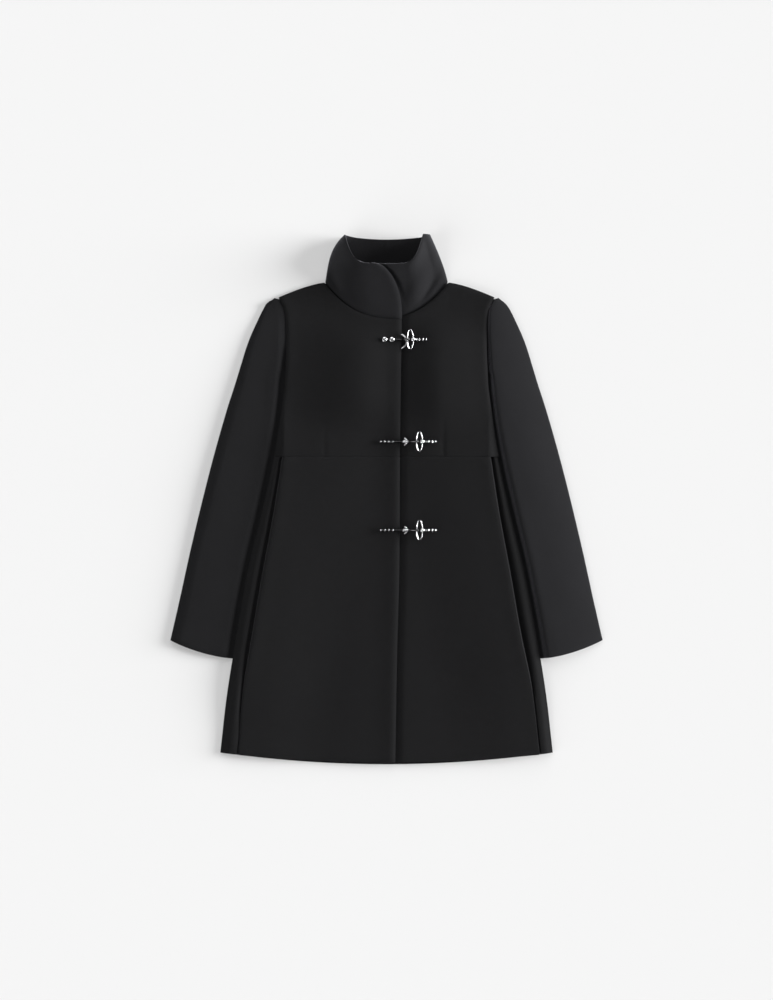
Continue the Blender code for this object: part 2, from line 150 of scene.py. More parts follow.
def pleatEdge(side, y):   # the pleats lean in towards the hem, the over front's more
    lean, start, end = cut["pleatLean"][side]
    return pleatTable(y) - lean * ramp(-y, start, end)


def neckSeam(pastCentre):
    share = max(0.0, (pastCentre + cut["lap"]) / (cut["neckHalf"] + cut["lap"]))
    return cut["neckFront"] + (cut["neckPoint"] - cut["neckFront"]) * share ** cut["neckCurve"]


def backNeck(across):
    return cut["neckBack"] + (cut["neckPoint"] - cut["neckBack"]) * abs(across / cut["neckHalf"]) ** 2


def shoulder(across):
    share = (across - cut["neckHalf"]) / (cut["shoulderHalf"] - cut["neckHalf"])
    drop = (cut["neckPoint"] - cut["shoulderTip"]) * max(0.0, share) ** cut["shoulderCurve"]
    return cut["neckPoint"] - drop


def alongShoulder(share):   # distance from the centre, from neck to shoulder tip
    return cut["neckHalf"] + (cut["shoulderHalf"] - cut["neckHalf"]) * share


def hem(across, lowest):
    return lowest + (cut["hemCorner"] - lowest) * (across / cut["hemHalf"]) ** 2


def nearHem(y):   # 1 below the cuffs, where no sleeve lies under the body
    start, end = cut["liftFoot"]
    return ramp(-y, -start, -end)


def lift(x, y):   # the body's rise over a tucked sleeve
    side = bodySide(min(y, cut["underarm"]))
    across = ramp(abs(x), side - cut["tuckFlat"] - cut["tuckRamp"], side - cut["tuckFlat"])
    return cut["tuckLift"] * across * (1 - ramp(y, *cut["liftTop"])) * (1 - nearHem(y))


def layerHeight(x, y, layer):
    return lift(x, y) + cut["floorLayer"] + layer * cut["layer"]


def lapLayer(side, x):   # the over front (side -1) climbs onto the under front
    return ramp(x, *cut["lapRamp"]) if side < 0 else 0.0


def frontLayer(side, x, y):
    pleat = pleatEdge(side, min(y, cut["waist"]))
    full = pleat - cut["pleatDepth"] - cut["pleatEase"]
    climb = ramp(abs(x), full - cut["pleatRamp"], full)
    if y > cut["waist"]:
        climb *= 1 - ramp(abs(x), pleat - cut["sideStep"][0], bodySide(y) - cut["sideStep"][1])
        climb *= 1 - ramp(y, cut["waist"], cut["waist"] + cut["pleatFade"])
    return 1 + lapLayer(side, x) + 2 * climb


def fullness(side, x, y):
    start, crest, end, low, fullLow, fullHigh, high, rise = cut["fullness"][side]
    return rib(x, (rise, start, crest, crest, end)) * rib(y, (1.0, low, fullLow, fullHigh, high))


def middleRise(x, y):
    rise, half, low, high = cut["middleRise"]
    side = bodySide(min(y, cut["underarm"])) - cut["tuckFlat"]
    foot = 1 - cut["middleFoot"] * nearHem(y)
    return rise * (1 - ramp(abs(x), half, side)) * (1 - ramp(y, low, high)) * foot


def frontHeight(side, x, y):
    return layerHeight(x, y, frontLayer(side, x, y)) + fullness(side, x, y) + middleRise(x, y)


# how the cloth lies beyond its cut: turned edges, seams, darts and soft unevenness
lie = {
    "frontRoll": (8.0, 2.2, 0.2),     # width, rise and drop of each turned or sewn edge
    "sideRoll": (6.0, 1.2, 0.3),
    "armholeRoll": (6.0, 1.2, 0.6),
    "pleatRoll": (8.0, 1.3, 0.0),
    "hemRoll": (7.0, 1.0, 0.6),
    "neckRoll": (7.0, 0.8, 0.7),
    "shoulderRoll": (7.0, 0.9, 0.6),
    "waistRoll": (4.0, 0.22, 0.62),
    "deepest": -0.65,                 # a sewn edge sinks no further, to stay clear of the layer below
    "darts": {-1: (-105.0, 76.0, 146.0, 0.9), 1: (97.0, 76.0, 163.0, 1.5)},   # across, foot, point, depth
    "dartWide": 1.7,
    "besideEdge": (0.5, 15.0, 2.8),   # the under front stands up again beside the over front's edge
    "pleatSoft": (230.0, 350.0),      # heights below the middle where the pleat softens
    "softShare": 0.8,                 # of its roll that goes there
    # the cloth between pleat and side stands up as a soft rib, near the hem nearly as high as the pleat:
    # rise, and shares of the strip where it comes and goes
    "sideRib": (4.6, 0.0, 0.45, 0.5, 1.0),
    "hemRib": (6.6, 0.02, 0.12, 0.4, 1.0),
    "besidePleat": 0.4,               # share of the side's roll on that cloth
    "taper": (0.15, 0.3),             # shares of a fold's length past each end and inside it
    "seed": 3.7,
    "swell": (95.0, 240.0, 1.1),      # unevenness: across, up and rise
    "dimple": (34.0, 60.0, 0.35),
}


def rolled(distance, form):   # a ridge inside an edge, which falls away at the edge itself
    wide, rise, drop = form
    t = max(0.0, distance) / wide
    return rise * t * math.exp(1 - t) - drop * math.exp(-3 * t * t)


def uneven(x, y, seed):
    height = 0.0
    for wide, tall, rise in (lie["swell"], lie["dimple"]):
        height += rise * (0.5 + 0.5 * noise.noise(Vector((x / wide, y / tall, seed))))
    return height


def tapered(x, y, start, end, wide):   # 1 on a line between two points, soft to the sides and at its ends
    run = Vector(end) - Vector(start)
    away = Vector((x, y)) - Vector(start)
    along = away.dot(run) / run.length_squared
    across = abs(away.cross(run)) / run.length
    past, inside = lie["taper"]
    ends = ramp(along, -past, inside) * (1 - ramp(along, 1 - inside, 1 + past))
    return bell(across, wide) * ends


def frontRelief(side, x, y):   # what the bodice and the skirt share, so they meet at the waist
    height = uneven(x, y, lie["seed"] + side)
    if side < 0:
        height += rolled(frontEdge(y) - x, lie["frontRoll"])
    else:
        start, end, rise = lie["besideEdge"]
        height += rise * ramp(x - frontEdge(y), start, end)
    return height + rolled(abs(y - cut["waist"]), lie["waistRoll"])


print("cut and lie set")


# finishes
wool = {
    "dark": (0.0018, 0.0018, 0.0021, 1.0),
    "light": (0.0034, 0.0034, 0.0040, 1.0),
    "roughness": (0.86, 0.98),
    "sheen": 0.124,
    "sheenRoughness": 0.36,
    "sheenTint": (0.89, 0.89, 1.0, 1.0),
    "specular": 0.22,
    "fibreScale": 1150.0,     # per metre
    "strandScale": (2300.0, 420.0, 1000.0),
    "strandTurn": 0.35,
    "cloudScale": 26.0,
    "twillScale": 330.0,
    "bumpDistance": 0.0007,
    "bumpStrength": 0.55,
    "strandRise": 0.8,        # beside the fibres
    "twillRise": 0.16,
    "tipRange": (0.55, 1.35),
    "tipShade": (0.75, -0.15),
    "cloudShade": 0.55,
    # painted light: these pieces are drawn paler by this, base colour and sheen alike, in place of the
    # light and sheen they catch
    "paintedLightness": {"collar": 2.6, "rightSleeve": 1.6, "leftSleeve": 2.65},
}


def addNode(tree, kind, **settings):
    node = tree.nodes.new(kind)
    for name, value in settings.items():
        if name in node.inputs:
            node.inputs[name].default_value = value
        else:
            setattr(node, name, value)
    return node


def makeNapGroup():   # felted nap: fibres lying over a faint twill, with cloudy wear
    group = bpy.data.node_groups.new("felted nap", "ShaderNodeTree")
    group.interface.new_socket("Place", in_out="INPUT", socket_type="NodeSocketVector")
    group.interface.new_socket("Cloth Place", in_out="INPUT", socket_type="NodeSocketVector")
    for name in ("Shade", "Height", "Rough"):
        group.interface.new_socket(name, in_out="OUTPUT", socket_type="NodeSocketFloat")
    source = group.nodes.new("NodeGroupInput")
    result = group.nodes.new("NodeGroupOutput")
    link = group.links.new
    fibre = addNode(group, "ShaderNodeTexNoise", Scale=wool["fibreScale"], Detail=4.0, Roughness=0.62)
    link(source.outputs["Place"], fibre.inputs["Vector"])
    strandMap = addNode(group, "ShaderNodeMapping", Scale=wool["strandScale"],
                        Rotation=(0.0, 0.0, wool["strandTurn"]))
    link(source.outputs["Cloth Place"], strandMap.inputs["Vector"])
    strand = addNode(group, "ShaderNodeTexNoise", Scale=1.0, Detail=3.0, Roughness=0.6, Distortion=0.8)
    link(strandMap.outputs["Vector"], strand.inputs["Vector"])
    cloud = addNode(group, "ShaderNodeTexNoise", Scale=wool["cloudScale"], Detail=5.0, Roughness=0.6)
    link(source.outputs["Place"], cloud.inputs["Vector"])
    twill = addNode(group, "ShaderNodeTexWave", Scale=wool["twillScale"], Distortion=1.6, Detail=2.0)
    twill.bands_direction = "DIAGONAL"
    twill.inputs["Detail Scale"].default_value = 2.4
    link(source.outputs["Cloth Place"], twill.inputs["Vector"])
    # height: fibres over strands over the twill
    half = addNode(group, "ShaderNodeMath", operation="MULTIPLY_ADD")
    link(strand.outputs["Fac"], half.inputs[0])
    half.inputs[1].default_value = wool["strandRise"]
    link(fibre.outputs["Fac"], half.inputs[2])
    height = addNode(group, "ShaderNodeMath", operation="MULTIPLY_ADD")
    link(twill.outputs["Fac"], height.inputs[0])
    height.inputs[1].default_value = wool["twillRise"]
    link(half.outputs["Value"], height.inputs[2])
    link(height.outputs["Value"], result.inputs["Height"])
    # shade: pale fibre tips and slow clouds
    tips = addNode(group, "ShaderNodeMapRange")
    tips.inputs["From Min"].default_value, tips.inputs["From Max"].default_value = wool["tipRange"]
    link(half.outputs["Value"], tips.inputs["Value"])
    shade = addNode(group, "ShaderNodeMath", operation="MULTIPLY_ADD", use_clamp=True)
    link(cloud.outputs["Fac"], shade.inputs[0])
    shade.inputs[1].default_value = wool["cloudShade"]
    spread = addNode(group, "ShaderNodeMath", operation="MULTIPLY_ADD")
    link(tips.outputs["Result"], spread.inputs[0])
    spread.inputs[1].default_value, spread.inputs[2].default_value = wool["tipShade"]
    link(spread.outputs["Value"], shade.inputs[2])
    link(shade.outputs["Value"], result.inputs["Shade"])
    rough = addNode(group, "ShaderNodeMapRange")
    rough.inputs["To Min"].default_value, rough.inputs["To Max"].default_value = wool["roughness"]
    link(strand.outputs["Fac"], rough.inputs["Value"])
    link(rough.outputs["Result"], result.inputs["Rough"])
    return group


napGroup = makeNapGroup()


def addColourMix(tree, dark, light):   # sockets 6 and 7 of a Mix node are its colours
    mix = addNode(tree, "ShaderNodeMix", data_type="RGBA")
    mix.inputs[6].default_value = dark
    mix.inputs[7].default_value = light
    return mix


def makeWool(name, lightness=1.0):
    made = bpy.data.materials.new(name)
    made.use_nodes = True
    tree = made.node_tree
    link = tree.links.new
    shader = tree.nodes["Principled BSDF"]
    place = tree.nodes.new("ShaderNodeTexCoord")
    nap = addNode(tree, "ShaderNodeGroup", node_tree=napGroup)
    link(place.outputs["Object"], nap.inputs["Place"])
    link(place.outputs["UV"], nap.inputs["Cloth Place"])
    # lightness is painted light: above 1 the base colour and the sheen are drawn stronger, in place of
    # light the piece catches
    dark, light = (tuple(c * lightness for c in wool[tone][:3]) + (1.0,) for tone in ("dark", "light"))
    colour = addColourMix(tree, dark, light)
    link(nap.outputs["Shade"], colour.inputs[0])
    link(colour.outputs[2], shader.inputs["Base Color"])
    link(nap.outputs["Rough"], shader.inputs["Roughness"])
    bump = addNode(tree, "ShaderNodeBump", Strength=wool["bumpStrength"], Distance=wool["bumpDistance"])
    link(nap.outputs["Height"], bump.inputs["Height"])
    link(bump.outputs["Normal"], shader.inputs["Normal"])
    shader.inputs["Specular IOR Level"].default_value = wool["specular"]
    shader.inputs["Sheen Weight"].default_value = wool["sheen"] * lightness
    shader.inputs["Sheen Roughness"].default_value = wool["sheenRoughness"]
    shader.inputs["Sheen Tint"].default_value = wool["sheenTint"]
    return made


coatWool = makeWool("black coating wool")
# painted light: paler copies of the same wool for the collar and the sleeves
collarWool = makeWool("black coating wool, collar, painted paler", wool["paintedLightness"]["collar"])
sleeveWool = {-1: makeWool("black coating wool, right sleeve, painted paler", wool["paintedLightness"]["rightSleeve"]),
              1: makeWool("black coating wool, left sleeve, painted paler", wool["paintedLightness"]["leftSleeve"])}

nickel = {
    "dark": (0.012, 0.012, 0.013, 1.0),    # in the recesses: painted shade
    "light": (0.80, 0.80, 0.82, 1.0),      # on the crowns: painted highlight
    "roughness": (0.10, 0.34),
    "smudgeScale": 420.0,
    "smudgeShine": 0.16,
    "smudgeRange": (0.35, 0.75),
}


def makeNickel(name):   # polished black plate, paler and duller where it is handled; painted highlights on the crowns and painted shade in the recesses
    made = bpy.data.materials.new(name)
    made.use_nodes = True
    tree = made.node_tree
    link = tree.links.new
    shader = tree.nodes["Principled BSDF"]
    shader.inputs["Metallic"].default_value = 1.0
    place = tree.nodes.new("ShaderNodeTexCoord")
    smudge = addNode(tree, "ShaderNodeTexNoise", Scale=nickel["smudgeScale"], Detail=4.0, Roughness=0.6)
    link(place.outputs["Object"], smudge.inputs["Vector"])
    colour = addColourMix(tree, nickel["dark"], nickel["light"])
    paintedShine = addNode(tree, "ShaderNodeAttribute", attribute_name="paintedShine")
    worn = addNode(tree, "ShaderNodeMath", operation="MULTIPLY_ADD", use_clamp=True)
    link(smudge.outputs["Fac"], worn.inputs[0])
    worn.inputs[1].default_value = nickel["smudgeShine"]
    link(paintedShine.outputs["Fac"], worn.inputs[2])
    link(worn.outputs["Value"], colour.inputs[0])
    link(colour.outputs[2], shader.inputs["Base Color"])
    rough = addNode(tree, "ShaderNodeMapRange")
    rough.inputs["From Min"].default_value, rough.inputs["From Max"].default_value = nickel["smudgeRange"]
    rough.inputs["To Min"].default_value, rough.inputs["To Max"].default_value = nickel["roughness"]
    link(smudge.outputs["Fac"], rough.inputs["Value"])
    link(rough.outputs["Result"], shader.inputs["Roughness"])
    return made


claspNickel = makeNickel("black nickel plate")
print("finishes made")


def makeCloth(name, node, columns, rows, place, finish):
    # place gives a point of the cloth's middle and its place on the flat cut, for shares u and v
    grid = bmesh.new()
    bmesh.ops.create_grid(grid, x_segments=columns, y_segments=rows, size=1.0)
    cutLayer = grid.loops.layers.uv.new("cut")
    cutPlace = {}
    for vert in grid.verts:
        spot, onCut = place((vert.co.x + 1) / 2, (vert.co.y + 1) / 2)
        vert.co = Vector(spot) * mm
        cutPlace[vert] = Vector(onCut) * mm
    for face in grid.faces:
        for loop in face.loops:
            loop[cutLayer].uv = cutPlace[loop.vert]
    mesh = bpy.data.meshes.new(name)
    grid.to_mesh(mesh)
    grid.free()
    mesh.shade_smooth()
    mesh.materials.append(finish)
    made = bpy.data.objects.new(name, mesh)
    scene.collection.objects.link(made)
    wall = made.modifiers.new("wall", "SOLIDIFY")
    wall.thickness = cut["cloth"] * mm
    wall.offset = 0.0
    wall.use_even_offset = True
    edge = made.modifiers.new("edge", "BEVEL")
    edge.width = cut["edgeRound"] * mm
    edge.segments = cut["edgeSteps"]
    edge.limit_method = "ANGLE"
    edge.angle_limit = math.radians(cut["edgeAngle"])
    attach(made, "root")
    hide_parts(node)
    print(name, "made")


def blendEdges(bottom, top, inner, outer):   # a patch between four edges in plan
    def point(u, v):
        low = bottom(0) * (1 - u) + bottom(1) * u
        high = top(0) * (1 - u) + top(1) * u
        return (bottom(u) - low) * (1 - v) + (top(u) - high) * v + inner(v) * (1 - u) + outer(v) * u

    return point


def outerEdge(v, low, fineness=1.3):
    height = low + (cut["shoulderTip"] - cut["seam"] - low) * (1 - (1 - v) ** fineness)
    return Vector((bodySide(height) if height < cut["underarm"] else armhole(height), height))


# back: hidden by the fronts, so plain, with its middle seam
back = {
    "columns": 104,
    "rows": 150,
    "skirtShare": 0.6,
    "neckShare": 0.57,
    "seamWide": 1.6,
    "seamRise": 0.5,
    "flat": (0.564, 0.816),
    "area": 0.345,
}


def makeBack():
    skirtShare, neckShare = back["skirtShare"], back["neckShare"]

    def bottom(u):
        across = cut["hemHalf"] * (2 * u - 1)
        return Vector((across, hem(across, cut["hemBack"])))

    def top(u):
        out = abs(2 * u - 1)
        hand = 1 if u > 0.5 else -1
        if out < neckShare:
            across = cut["neckHalf"] * out / neckShare
            return Vector((hand * across, backNeck(across) - cut["neckGap"]))
        across = alongShoulder((out - neckShare) / (1 - neckShare))
        return Vector((hand * across, shoulder(across) - cut["seam"]))

    def side(v):
        if v > skirtShare:
            return outerEdge((v - skirtShare) / (1 - skirtShare), cut["waist"])
        height = cut["hemCorner"] + (cut["waist"] - cut["hemCorner"]) * v / skirtShare
        return Vector((bodySide(height), height))

    patch = blendEdges(bottom, top, lambda v: Vector((-side(v).x, side(v).y)), side)

    def place(u, v):
        plan = patch(crowd(u), crowd(v))
        height = layerHeight(plan.x, plan.y, 0)
        height += back["seamRise"] * bell(plan.x, back["seamWide"])
        return (plan.x, plan.y, height), plan

    makeCloth("coatBack", "back", back["columns"], back["rows"], place, coatWool)


# fronts above the waist seam
bodice = {
    "columns": 92,
    "rows": 112,
    "neckShare": 0.6,
    "neckFade": {-1: (-28.0, 20.0), 1: (25.0, 60.0)},   # the neck seam lies flat where the fronts cross
    "flat": (0.219, 0.296),
    "area": 0.0555,
}


def makeBodice(side, name, node):
    low, neckShare = cut["waist"] + cut["seam"], bodice["neckShare"]
    dartAcross, dartFoot, dartPoint, dartDepth = lie["darts"][side]

    def bottom(u):
        reach = frontEdge(low)
        return Vector((-reach + (reach + bodySide(low)) * u, low))

    def top(u):
        if u < neckShare:
            across = -cut["lap"] + (cut["neckHalf"] + cut["lap"]) * u / neckShare
            return Vector((across, neckSeam(across) - cut["neckGap"]))
        across = alongShoulder((u - neckShare) / (1 - neckShare))
        return Vector((across, shoulder(across) - cut["seam"]))

    def inner(v):
        height = low + (cut["neckFront"] - cut["neckGap"] - low) * v
        return Vector((-frontEdge(height), height))

    patch = blendEdges(bottom, top, inner, lambda v: outerEdge(v, low))

    def place(u, v):
        plan = patch(crowd(u), crowd(v))
        x, y, across = side * plan.x, plan.y, plan.x
        height = frontHeight(side, x, y) + frontRelief(side, x, y)
        if y > cut["underarm"]:
            edge = rolled(armhole(min(y, cut["shoulderTip"])) - across, lie["armholeRoll"])
        else:
            edge = rolled(bodySide(y) - across, lie["sideRoll"])
        if across < cut["neckHalf"]:
            slope = (neckSeam(across + 1) - neckSeam(across - 1)) / 2
            beside = ramp(across, *bodice["neckFade"][side])
            edge += beside * rolled((neckSeam(across) - y) / math.hypot(1, slope), lie["neckRoll"])
        else:
            edge += rolled(shoulder(across) - y, lie["shoulderRoll"])
        height += max(lie["deepest"], edge)
        fade = 1 - ramp(y, dartFoot, dartPoint)
        height -= dartDepth * fade * bell(x - dartAcross, lie["dartWide"])
        return (x, y, height), (x, y)

    makeCloth(name, node, bodice["columns"], bodice["rows"], place, coatWool)


# fronts below the waist seam, each with a knife pleat near its side
skirt = {
    "sideColumns": 16,
    "sideCrowd": 0.4,
    "turnSteps": 10,
    "underColumns": 8,
    "mainColumns": 84,
    "rows": 170,
    "flat": (0.352, 0.520),
    "area": 0.158,
}


def halfTurn(steps, centre, layer, radius, outward):   # round a fold, from its lower layer to its upper one
    points = []
    for n in range(1, steps):
        angle = math.pi * n / steps - math.pi / 2
        points.append((centre + outward * radius * math.cos(angle), layer + math.sin(angle) / 2))
    return points


def skirtRow(side, y):   # from the side edge in under the pleat, back out, and to the front edge
    # distances from the centre, and layers 1 to 3 with a fold half way between two
    fold = cut["layer"] / 2
    pleat, edge = pleatEdge(side, y), bodySide(y)
    under, reach = pleat - cut["pleatDepth"], -frontEdge(y)
    row = []
    for n in range(skirt["sideColumns"] + 1):
        share = crowd(n / skirt["sideColumns"], skirt["sideCrowd"])
        row.append((edge + (under + fold - edge) * share, 1.0))
    row += halfTurn(skirt["turnSteps"], under + fold, 1.5, fold, -1)
    for n in range(skirt["underColumns"] + 1):
        row.append((under + fold + (cut["pleatDepth"] - 2 * fold) * n / skirt["underColumns"], 2.0))
    row += halfTurn(skirt["turnSteps"], pleat - fold, 2.5, fold, 1)
    for n in range(skirt["mainColumns"] + 1):
        across = pleat - fold + (reach - pleat + fold) * crowd(n / skirt["mainColumns"])
        row.append((across, frontLayer(side, side * across, y)))
    return row


def makeSkirt(side, name, node):
    rows, top = skirt["rows"], cut["waist"] - cut["seam"]
    heights = [cut["waist"] + (cut["hemCorner"] - cut["waist"]) * crowd(n / rows) for n in range(rows + 1)]
    table = [skirtRow(side, height) for height in heights]
    columns = len(table[0]) - 1
    firstMain = columns - skirt["mainColumns"]
    lastSide = skirt["sideColumns"]
    # distances across the flat cut
    onCut = [runOf([(across, layer * cut["layer"]) for across, layer in row]) for row in table]

    def place(u, v):
        i, j = round(u * columns), round(v * rows)
        across, layer = table[j][i]
        x = side * across
        y = top + (hem(across, cut["hemFront"]) - top) * crowd(v)
        height = layerHeight(x, y, layer) + middleRise(x, y)
        if i >= firstMain:
            height += frontRelief(side, x, y)
            soft = lie["softShare"] * ramp(-y, *lie["pleatSoft"])
            height += (1 - soft) * rolled(pleatEdge(side, y) - across, lie["pleatRoll"])
            height += rolled(y - hem(across, cut["hemFront"]), lie["hemRoll"])
        elif i <= lastSide:
            pleat, edge = pleatEdge(side, y), bodySide(y)
            height += lie["besidePleat"] * rolled(edge - across, lie["sideRoll"])
            if across > pleat:
                share = min(1.0, (across - pleat) / (edge - pleat))
                soft = ramp(-y, *lie["pleatSoft"])
                height += (1 - soft) * rib(share, lie["sideRib"]) + soft * rib(share, lie["hemRib"])
        return (x, y, height), (onCut[j][i], y)

    makeCloth(name, node, columns, rows, place, coatWool)


# sleeves: section by section from shoulder to cuff
sleeve = {
    # inner end and outer end in plan, tucked width, flat width, edge height, crest height, bow of the end
    "sections": (
        (182.6, 340.5, 190.5, 343.0, 0, 0, 3.6, 5.5, 0),
        (174.2, 322.0, 205.0, 330.0, 0, 0, 5.0, 9.0, 0),
        (170.8, 290.0, 220.0, 302.0, 0, 0, 6.0, 13.0, 0),
        (170.4, 250.0, 235.5, 266.0, 0, 4, 7.0, 16.5, 0),
        (173.0, 199.0, 250.5, 218.0, 6, 12, 7.5, 19.5, 0),
        (175.2, 172.0, 258.5, 192.0, 14, 12, 8.0, 20.5, 0),
        (179.6, 132.0, 270.5, 155.0, 36, 12, 8.0, 21.0, 0),
        (193.0, 60.0, 293.0, 76.0, 40, 10, 8.0, 21.5, 0),
        (213.0, -28.0, 314.0, -6.0, 38, 10, 8.0, 21.5, 0),
        (232.0, -108.0, 333.0, -86.0, 34, 10, 8.0, 21.0, 0),
        (249.0, -195.0, 351.0, -168.0, 30, 10, 8.0, 20.0, 0),
        (262.0, -269.0, 367.0, -238.0, 26, 10, 7.5, 19.0, 5),
    ),
    # each sleeve: share of the width where it is highest, shares of the crest, edge and flat width above,
    # and share of its rise close to the body
    "sides": {-1: (0.80, 0.58, 0.70, 0.3, 0.66), 1: (0.14, 0.86, 0.31, 0.3, 0.0)},
    "earlyRise": 14.0,
    "tuckRamp": (203.0, 214.0),
    "fold": 9.0,
    "foldShare": 0.35,
    "innerColumns": 34,
    "crestSteps": 26,
    "foldSteps": 10,
    "lowerColumns": 22,
    "rows": 150,
    "seamRoll": (6.0, 0.3, 0.7),
    "seamFlat": 2.0,          # the cloth leaves the seam level
    "seamGap": 0.4,
    "lowerTuck": 7.0,         # where the body is raised the lower side passes further under it
    "raised": (2.6, 4.0),
    "leastEdge": 1.5,         # above the floor layer
    "leastCrest": 0.5,        # above the edge
    "sewnCrest": (8.0, 1.0),  # tucked less than this, the crest stands this much above the seam
    "bowShare": 0.85,
    "rowCrowd": 0.5,
    "sewnRamp": (245.0, 285.0),   # heights where the seam comes up to the front
    "cuffRoll": (8.0, 0.9, 0.7),
    "cuffRamp": 12.0,
    "swell": (70.0, 130.0, 1.6),
    "swellRamp": 25.0,
    "seeds": {-1: 7.3, 1: 15.3},
    "flat": (0.262, 0.640),
    "area": 0.152,
}


def sleeveRow(section, side):   # from its seam over the crest, round the outer edge and back below
    innerX, innerY, outerX, outerY, tuck, flatWide, edge, crest = section[:-1]
    crestShare, tall, edgeTall, flatShare, early = sleeve["sides"][side]
    span = math.hypot(outerX - innerX, outerY - innerY)
    foldWide = min(sleeve["fold"], sleeve["foldShare"] * span)
    outer, crestOut, low = span - cut["cloth"] / 2, crestShare * span, cut["floorLayer"]
    front = lift(innerX, innerY) + fullness(side, side * innerX, innerY)
    sewn = low + cut["layer"] + front * ramp(innerY, *sleeve["sewnRamp"])
    edge = max(edge * edgeTall, low + sleeve["leastEdge"])
    crest = max(crest * tall, edge + sleeve["leastCrest"])
    most, clear = sleeve["sewnCrest"]
    if tuck < most:
        crest = max(crest, sewn + clear)
    flatWide = max(flatWide * flatShare, sleeve["seamFlat"])
    start = sleeve["seamGap"] - tuck
    row = []
    for n in range(sleeve["innerColumns"]):
        out = start + (crestOut - start) * n / sleeve["innerColumns"]
        rise = early * ramp(out, flatWide, flatWide + sleeve["earlyRise"])
        rise += (1 - early) * ramp(out, flatWide, crestOut)
        row.append((out, sewn + (crest - sewn) * rise, 1.0))
    for n in range(sleeve["crestSteps"]):
        angle = math.pi / 2 * n / sleeve["crestSteps"]
        fall = math.sin(angle)
        bowed = sleeve["bowShare"] * (1 - fall * fall) + (1 - sleeve["bowShare"]) * math.cos(angle)
        row.append((crestOut + (outer - crestOut) * fall, edge + (crest - edge) * bowed, math.cos(angle)))
    for n in range(sleeve["foldSteps"] + 1):
        angle = math.pi / 2 * n / sleeve["foldSteps"]
        row.append((outer - foldWide * (1 - math.cos(angle)), edge - (edge - low) * math.sin(angle), 0.0))
    under = start - sleeve["lowerTuck"] * ramp(lift(innerX, innerY), *sleeve["raised"])
    for n in range(1, sleeve["lowerColumns"] + 1):
        row.append((outer - foldWide + (under - outer + foldWide) * n / sleeve["lowerColumns"], low, 0.0))
    return row


def makeSleeve(side, name, node):
    sections, rows = sleeve["sections"], sleeve["rows"]
    # distance down the sleeve to each section
    reach = runOf([((one[0] + one[2]) / 2, (one[1] + one[3]) / 2) for one in sections])
    columnCurves = [curveThrough(list(zip(reach, column))) for column in zip(*sections)]
    downs = [reach[-1] * crowd(n / rows, sleeve["rowCrowd"]) for n in range(rows + 1)]
    fine = [[curve(down) for curve in columnCurves] for down in downs]
    for section in fine:   # sewn to the armhole down to the underarm
        if section[1] > cut["underarm"]:
            section[0] = armhole(section[1])
        section[4] *= 1 - ramp(section[1], *sleeve["tuckRamp"])
    table = [sleeveRow(section, side) for section in fine]
    columns = len(table[0]) - 1
    spreads = [runOf([spot[:2] for spot in row]) for row in table]

    def place(u, v):
        i, j = round(u * columns), round(v * rows)
        (innerX, innerY, outerX, outerY, tuck, flatWide), bow = fine[j][:6], fine[j][-1]
        out, height, show = table[j][i]
        start = Vector((innerX, innerY))
        along = Vector((outerX, outerY)) - start
        share = min(1.0, max(0.0, out / along.length))
        plan = start + along.normalized() * out
        plan.y -= bow * 4 * share * (1 - share)
        down = downs[j]
        if show:
            wide, tall, rise = sleeve["swell"]
            clear = ramp(out, flatWide, flatWide + sleeve["swellRamp"])
            swell = noise.noise(Vector((out / wide, down / tall, sleeve["seeds"][side])))
            height += show * clear * rise * swell
            if tuck < 1:
                height += show * rolled(out, sleeve["seamRoll"])
            cuff = ramp(out, -tuck, flatWide + sleeve["cuffRamp"])
            height += show * cuff * rolled(reach[-1] - down, sleeve["cuffRoll"])
        return (side * plan.x, plan.y, height), (spreads[j][i], down)

    makeCloth(name, node, columns, rows, place, sleeveWool[side])


